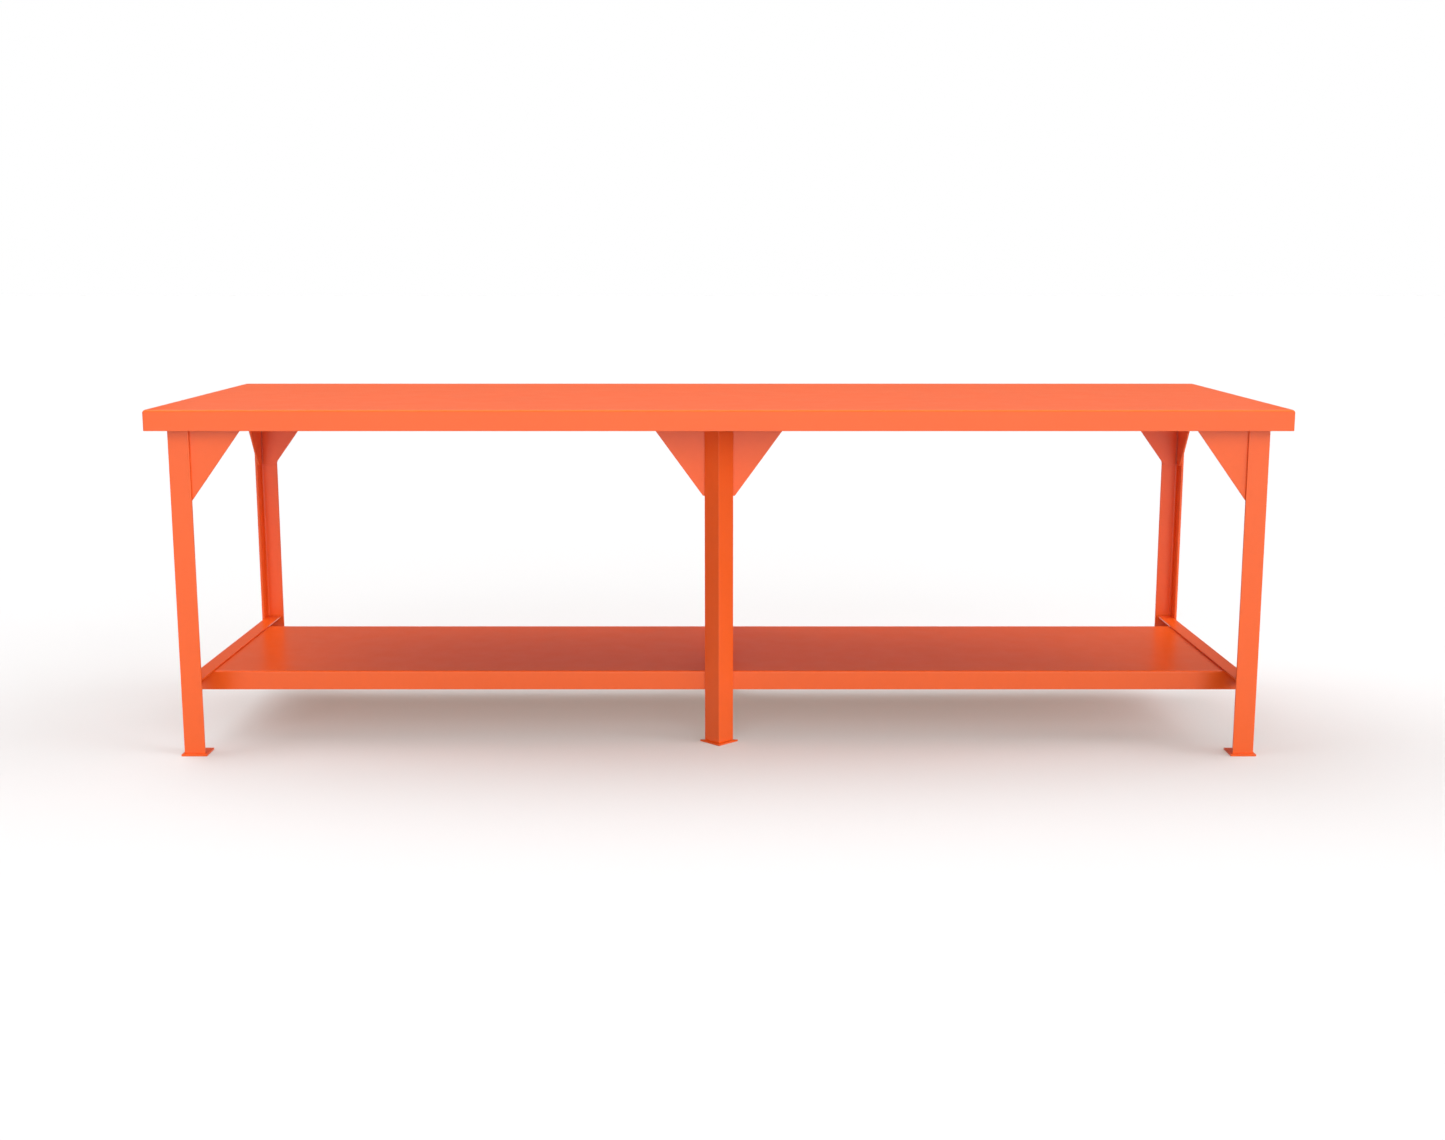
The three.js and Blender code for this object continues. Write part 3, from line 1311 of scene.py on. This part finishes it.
@dataclass
class MiddleLeg(Leg):
    """A leg halfway along a side, turned by 45 degrees, its toes against the shelf's skirt."""

    row: Row = Row.FRONT
    bead_lean: float = 2.0

    @classmethod
    def at(cls, row: Row, section: AngleSection) -> "MiddleLeg":
        """The leg in the middle of one row.

        Args:
            row: The front or the rear row.
            section: Its section.

        Returns:
            The leg.
        """
        name = f"{row.word}_middle"
        box = NodeBox.of(f"leg_{name}")
        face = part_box("shelf")[1].y
        heel = box.face_y(row.value) * row.value
        inside = (heel - face) * SQRT_2 - 2 * section.thickness
        inscribed_radius = inside * (2 - SQRT_2) / 2
        hole_reach = (section.thickness + inscribed_radius) * SQRT_2
        flange_way = Vector((-row.value, -row.value, 0)).normalized()
        return cls(name, (0.0, heel * row.value), flange_way, section,
                   (0.0, (heel - hole_reach) * row.value), row=row)

    def pad_outline(self) -> list[Point2]:
        """A right triangle, square at the heel, its long edge under the shelf's skirt.

        Returns:
            The corners.
        """
        box = NodeBox.of(self.pad_node)
        tip = box.face_y(self.row.value)
        back = box.face_y(-self.row.value)
        return [(box.centre.x, tip), (box.high.x, back), (box.low.x, back)]

    def gussets(self) -> list[Gusset]:
        """The gussets to the left and the right, behind the toes.

        Returns:
            The gussets.
        """
        behind = Y_AXIS * -self.row.value
        return [Gusset(f"gusset_{self.row.word}_middle_{side.word}", X_AXIS * side.value, behind)
                for side in Side]

    def gusset_seams(self) -> list[Seam]:
        """Seams down inside both toes, against the gussets and against the shelf's skirt.

        Returns:
            The seams.
        """
        shelf = NodeBox.of("shelf")
        gussets = self.gussets()
        found = [gusset.top_seam() for gusset in gussets]
        reach = (abs(self.heel[1]) - shelf.high.y) * SQRT_2 - self.section.thickness
        plate_z = gussets[0].near_top.z
        spans = [(shelf.low.z, shelf.high.z), (plate_z - gussets[0].box.size.z, plate_z)]
        for side in Side:
            x = side.value * (reach - self.section.thickness) / SQRT_2
            y = self.row.value * shelf.high.y
            open_way = Vector((-side.value * self.bead_lean, self.row.value, 0))
            for low, high in spans:
                found.append(Seam(Vector((x, y, low)), Vector((x, y, high)), open_way))
        return found


@dataclass
class EndRail(Member):
    """A rail of light angle across one end, its upper flange over the shelf."""

    side: Side
    root_radius: float = 4.76 * MM
    toe_radius: float = 1.0 * MM
    heel_radius: float = 0.8 * MM

    @property
    def node(self) -> str:
        """The rail's node."""
        return f"end_rail_{self.side.word}"

    def build(self) -> bpy.types.Object:
        """Builds the rail.

        Returns:
            The piece.
        """
        box = self.box
        section = AngleSection(box.size.z, box.high.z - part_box("shelf")[1].z, self.root_radius,
                               self.toe_radius, self.heel_radius)
        out = self.side.value
        heel = Vector((box.face_x(out), out * box.high.y, box.high.z))
        place = axes_matrix(X_AXIS * -out, -Z_AXIS, heel)
        mesh = section.bar(self.node, box.size.y, place, FRAME_COAT)
        return self.cover(mesh, FRAME_COAT)

    def seams(self) -> list[Seam]:
        """The upright seams along the legs' toes, on the rail's outer face.

        Returns:
            The seams.
        """
        box = self.box
        out = self.side.value
        x = box.face_x(out)
        found = []
        for row in Row:
            toe = NodeBox.of(f"leg_{row.word}_{self.side.word}").face_y(-row.value)
            found.append(Seam(Vector((x, toe, box.low.z)), Vector((x, toe, box.high.z)),
                              Vector((out, -row.value, 0))))
        return found


@dataclass
class ShelfPan(Member):
    """The lower shelf: one sheet with a skirt turned down along the front and the rear.

    It is notched at both ends: the sheet stops at the end rails' roots, the skirts stop at the
    rails' flanges, and below the rails the skirts' lower edges run on to the plane of the legs.
    """

    node: ClassVar[str] = "shelf"

    inner_radius: float = 2.34 * MM
    rail_root_radius: float = 4.76 * MM
    rail_gap: float = 0.3 * MM
    thickness: float = field(
        default_factory=lambda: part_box("shelf")[1].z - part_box("shelf_stiffener_left")[1].z)

    def build(self) -> bpy.types.Object:
        """Builds the shelf.

        Returns:
            The piece.
        """
        box = self.box
        section = ChannelSection(box.size.y, box.size.z, self.thickness, self.inner_radius)
        start = Vector((box.high.x, 0, box.high.z))
        mesh = section.bar(
            self.node, box.size.x, axes_matrix(Y_AXIS, -Z_AXIS, start), SHELF_COAT, self.notches())
        return self.cover(mesh, SHELF_COAT)

    def notches(self) -> list[NodeBox]:
        """What is cut off the two ends to make room for the rails.

        Returns:
            Two blocks for each rail, one round its root and one round its upright flange.
        """
        box = self.box
        root = self.rail_root_radius + self.rail_gap
        found = []
        for side in Side:
            rail = NodeBox.of(f"end_rail_{side.word}")
            wall = rail.high.z - box.high.z
            out = rail.face_x(side.value) * side.value
            steps = ((out - wall - root, box.high.z - root),
                     (out - wall - self.rail_gap, rail.low.z - self.rail_gap))
            for reach, bottom in steps:
                ends = (side.value * reach, side.value * (out + rail.size.x))
                low = Vector((min(ends), rail.low.y, bottom))
                high = Vector((max(ends), rail.high.y, rail.high.z + rail.size.z))
                found.append(NodeBox(low, high))
        return found


@dataclass
class ShopTable:
    """The whole table, sub-assembly by sub-assembly."""

    root_radius: float = 6.35 * MM
    toe_radius: float = 1.2 * MM
    heel_radius: float = 1.2 * MM
    top_stiffener_thickness: float = 4.76 * MM
    top_stiffener_radius: float = 2.4 * MM
    shelf_stiffener_radius: float = 2.0 * MM
    light_bead_radius: float = 1.6 * MM

    def leg_section(self) -> AngleSection:
        """The legs' angle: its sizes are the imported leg's, and its thickness reaches to the rail.

        Returns:
            The section.
        """
        leg = NodeBox.of("leg_front_left")
        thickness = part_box("end_rail_left")[0].x - leg.low.x
        return AngleSection(leg.size.x, thickness, self.root_radius, self.toe_radius, self.heel_radius)

    def build(self) -> None:
        """Builds every piece of the table, with its welds."""
        top = FormedTop()
        top.build()
        top_seams = top.seams()
        for place in ("left", "middle", "right"):
            stiffener = Stiffener(f"top_stiffener_{place}", self.top_stiffener_thickness,
                                  self.top_stiffener_radius, FRAME_COAT)
            stiffener.build()
            top_seams += stiffener.seams()
        leg_seams = self.build_legs()
        shelf_seams = self.build_shelf()
        WeldBeads().build("weld_beads_under_top", top_seams, WELD_COAT)
        WeldBeads().build("weld_beads_legs", leg_seams, WELD_COAT)
        WeldBeads(radius=self.light_bead_radius).build("weld_beads_shelf", shelf_seams, WELD_COAT)

    def build_legs(self) -> list[Seam]:
        """Builds the legs, their pads and their gussets.

        Returns:
            Their seams.
        """
        section = self.leg_section()
        legs: list[CornerLeg | MiddleLeg] = []
        for row in Row:
            legs += [CornerLeg.at(row, side, section) for side in Side]
            legs.append(MiddleLeg.at(row, section))
        seams = []
        for leg in legs:
            leg.build()
            for gusset in leg.gussets():
                gusset.build()
            seams += leg.seams() + leg.gusset_seams()
        return seams

    def build_shelf(self) -> list[Seam]:
        """Builds the shelf, its rails and its stiffeners.

        Returns:
            Their seams.
        """
        shelf = ShelfPan()
        shelf.build()
        seams = []
        for side in Side:
            rail = EndRail(side)
            rail.build()
            seams += rail.seams()
            stiffener = Stiffener(f"shelf_stiffener_{side.word}", shelf.thickness,
                                  self.shelf_stiffener_radius, SHELF_COAT)
            stiffener.build()
            seams += stiffener.seams()
        return seams


# Studio


def flat_stage_piece(
    name: str, corners: Sequence[Sequence[float]]
) -> tuple[bpy.types.Object, NodeSheet]:
    """One flat face of the studio, with a material that is still empty.

    Args:
        name: The face's name.
        corners: Its corners, counter-clockwise as its front shows them.

    Returns:
        The object, and its material's nodes.
    """
    mesh = bpy.data.meshes.new(name)
    mesh.from_pydata(corners, [], [range(len(corners))])
    material = bpy.data.materials.new(name)
    material.use_nodes = True
    material.node_tree.nodes.clear()
    mesh.materials.append(material)
    return put_in_scene(name, mesh), NodeSheet(material.node_tree)


@dataclass(frozen=True)
class SoftLight:
    """A very wide distant lamp that mirror images leave out, with its angles in degrees.

    Azimuth 0 stands in front of the table and grows to the right.
    """

    name: str
    azimuth: float
    elevation: float
    strength: float
    spread: float = 60.0

    def build(self) -> bpy.types.Object:
        """Hangs the lamp.

        Returns:
            The lamp.
        """
        lamp = bpy.data.lights.new(self.name, "SUN")
        lamp.energy = self.strength * math.pi
        lamp.angle = math.radians(self.spread)
        light = put_in_scene(self.name, lamp)
        light.visible_glossy = False
        turn, rise = math.radians(self.azimuth), math.radians(self.elevation)
        level = math.cos(rise)
        towards = Vector((math.sin(turn) * level, -math.cos(turn) * level, math.sin(rise)))
        light.rotation_euler = towards.to_track_quat("Z", "Y").to_euler()
        return light


@dataclass(frozen=True)
class Flag:
    """A card on the floor that only mirror images show.

    A dark card keeps the gloss that looks at it quiet, and a bright one lifts it. reach is how far
    it stands from the table's middle, along its way.
    """

    name: str
    way: Point2
    reach: float
    width: float
    height: float
    brightness: float

    def build(self) -> bpy.types.Object:
        """Stands the card up.

        Returns:
            The card.
        """
        way = Vector((*self.way, 0))
        middle = way * self.reach
        along = Z_AXIS.cross(way) * self.width / 2
        rise = Z_AXIS * self.height
        card, sheet = flat_stage_piece(
            self.name, [middle - along, middle + along, middle + along + rise, middle - along + rise])
        grey = sheet.add("ShaderNodeEmission", {"Strength": self.brightness})
        sheet.add("ShaderNodeOutputMaterial", {"Surface": grey.outputs[0]})
        card.visible_camera = False
        card.visible_diffuse = False
        card.visible_shadow = False
        card.visible_transmission = False
        return card


@dataclass
class Studio:
    """A white floor that runs out into a white surround, soft light and the camera."""

    floor_half: float = 60.0
    floor_color: Color = (0.522, 0.54, 0.563)
    floor_glow: Color = (0.275, 0.24, 0.207)
    lights: tuple[SoftLight, ...] = (
        SoftLight("front", azimuth=0, elevation=12, strength=0.695),
        SoftLight("front_right", azimuth=45, elevation=12, strength=0.405),
        SoftLight("left_end", azimuth=-90, elevation=35, strength=0.055),
        SoftLight("right_end", azimuth=90, elevation=35, strength=0.47),
        SoftLight("rear_left", azimuth=-120, elevation=60, strength=0.745),
        SoftLight("right_high", azimuth=60, elevation=60, strength=0.045),
        SoftLight("rear_right", azimuth=120, elevation=60, strength=0.215),
    )
    flags: tuple[Flag, ...] = (
        Flag("flag_rear", way=(0, 1), reach=2.6, width=6.4, height=2.4, brightness=0.225),
        Flag("flag_front", way=(0, -1), reach=2.6, width=6.4, height=1.3, brightness=1.32),
        Flag("flag_left", way=(-1, 0), reach=2.3, width=8.2, height=1.6, brightness=0.0),
        Flag("flag_right", way=(1, 0), reach=2.3, width=8.2, height=1.6, brightness=0.0),
    )
    camera_place: tuple[float, float, float] = (0.00897, -4.6059, 1.20965)
    camera_pitch: float = math.radians(10.014)
    camera_lens: float = 43.459
    sensor_width: float = 36.0

    def build(self) -> None:
        """Sets up the floor, the surround, the lamps and the camera."""
        self.build_floor()
        self.build_surround()
        for light in self.lights:
            light.build()
        for flag in self.flags:
            flag.build()
        self.build_camera()

    def build_floor(self) -> bpy.types.Object:
        """Lays the floor, which is seen only from above.

        Returns:
            The floor.
        """
        half = self.floor_half
        floor, sheet = flat_stage_piece(
            "studio_floor", [(-half, -half, 0), (half, -half, 0), (half, half, 0), (-half, half, 0)])
        paper = sheet.add("ShaderNodeBsdfDiffuse", {"Color": (*self.floor_color, 1)})
        glow = sheet.add(
            "ShaderNodeEmission", {"Color": (*self.floor_glow, 1), "Strength": self.seen(sheet)})
        lit = sheet.add("ShaderNodeAddShader", {0: paper.outputs[0], 1: glow.outputs[0]})
        clear = sheet.add("ShaderNodeBsdfTransparent")
        below = sheet.add("ShaderNodeNewGeometry").outputs["Backfacing"]
        mixed = sheet.add("ShaderNodeMixShader", {0: below, 1: lit.outputs[0], 2: clear.outputs[0]})
        sheet.add("ShaderNodeOutputMaterial", {"Surface": mixed.outputs[0]})
        return floor

    @staticmethod
    def seen(sheet: NodeSheet) -> bpy.types.NodeSocket:
        """One where the eye looks, straight, in a mirror image or through glass, and else nought.

        Args:
            sheet: The nodes of a stage material or of the surround.

        Returns:
            The value's socket.
        """
        rays = sheet.add("ShaderNodeLightPath").outputs
        plain = sheet.math("MAXIMUM", rays["Is Camera Ray"], rays["Is Glossy Ray"])
        return sheet.math("MAXIMUM", plain, rays["Is Transmission Ray"])

    def build_surround(self) -> None:
        """Makes the surround plain white to the eye and in mirror images, but no lamp."""
        world = bpy.data.worlds.new("studio_surround")
        world.use_nodes = True
        sheet = NodeSheet(world.node_tree)
        sheet.tree.nodes.clear()
        white = sheet.add("ShaderNodeBackground", {"Color": WHITE, "Strength": self.seen(sheet)})
        sheet.add("ShaderNodeOutputWorld", {"Surface": white.outputs[0]})
        bpy.context.scene.world = world

    def build_camera(self) -> bpy.types.Object:
        """Sets up the camera as the photograph's.

        Returns:
            The camera.
        """
        lens = bpy.data.cameras.new("photo_camera")
        lens.lens = self.camera_lens
        lens.sensor_width = self.sensor_width
        camera = put_in_scene("photo_camera", lens)
        camera.location = self.camera_place
        camera.rotation_euler = (QUARTER_TURN - self.camera_pitch, 0, 0)
        bpy.context.scene.camera = camera
        return camera


def main() -> None:
    """Builds the table and its studio."""
    logging.basicConfig(level=logging.INFO, format="%(name)s %(message)s")
    Studio().build()
    ShopTable().build()
    bpy.context.scene.view_settings.view_transform = "Standard"


if __name__ == "__main__":
    main()
